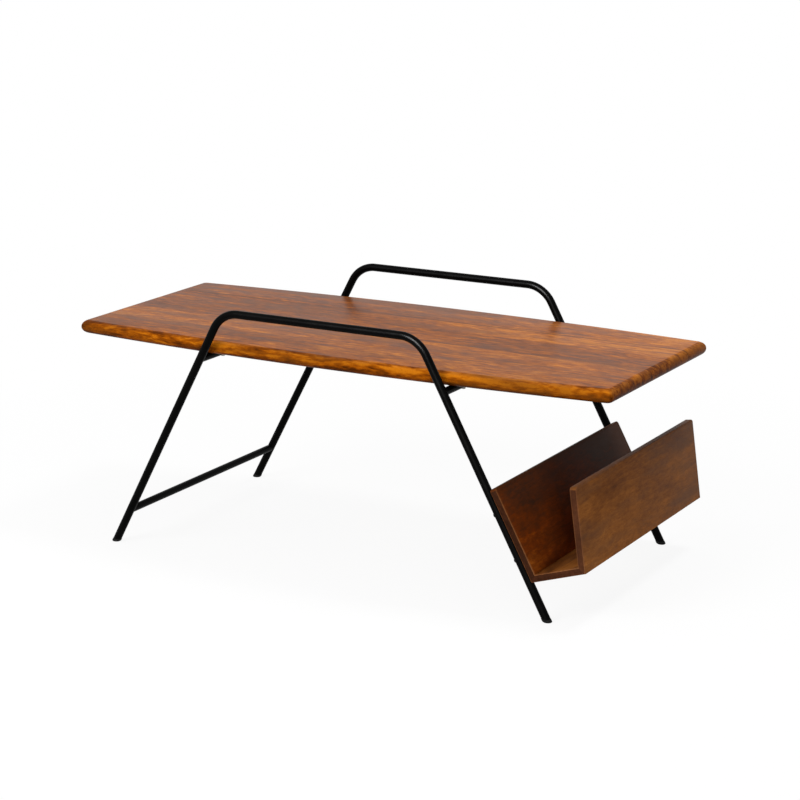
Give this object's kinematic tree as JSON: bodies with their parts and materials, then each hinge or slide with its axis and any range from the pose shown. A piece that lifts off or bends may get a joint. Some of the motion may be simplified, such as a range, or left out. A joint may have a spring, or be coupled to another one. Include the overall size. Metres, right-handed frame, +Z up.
{
  "type": "magazine table",
  "caption": "Low table with a boat-shaped wooden top, black bent-tube side frames that rise above it as handles, and a slanted wooden trough on the legs at the right for magazines.",
  "frame": {"origin": "on the floor, under the middle of the table", "axes": "+X along the top towards the end with the rack, +Y across the top towards the rear, +Z up"},
  "size_m": [1.1, 0.5008, 0.4775],
  "materials": {
    "top_wood": "clear satin lacquer",
    "rack_wood": "clear matt lacquer",
    "spline_wood": "plain",
    "frame_black": "satin black powder coat",
    "glide_black": "matt",
    "screw_steel": "zinc plated",
    "screw_black": "black"
  },
  "bodies": {
    "root": {"tabletop_board_1": "top_wood", "tabletop_board_2": "top_wood", "tabletop_board_3": "top_wood", "tabletop_board_4": "top_wood", "tabletop_board_5": "top_wood", "top_screws": "screw_steel", "side_frame_front": "frame_black", "side_frame_rear": "frame_black", "top_crossbar_left": "frame_black", "top_crossbar_right": "frame_black", "lower_stretcher_left": "frame_black", "foot_glide_front_left": "glide_black", "foot_glide_rear_left": "glide_black", "foot_glide_front_right": "glide_black", "foot_glide_rear_right": "glide_black", "rack_back_panel": "rack_wood", "rack_bottom_panel": "rack_wood", "rack_front_panel": "rack_wood", "rack_back_spline": "spline_wood", "rack_front_spline": "spline_wood", "rack_screws": "screw_black"}
  },
  "joints": []
}
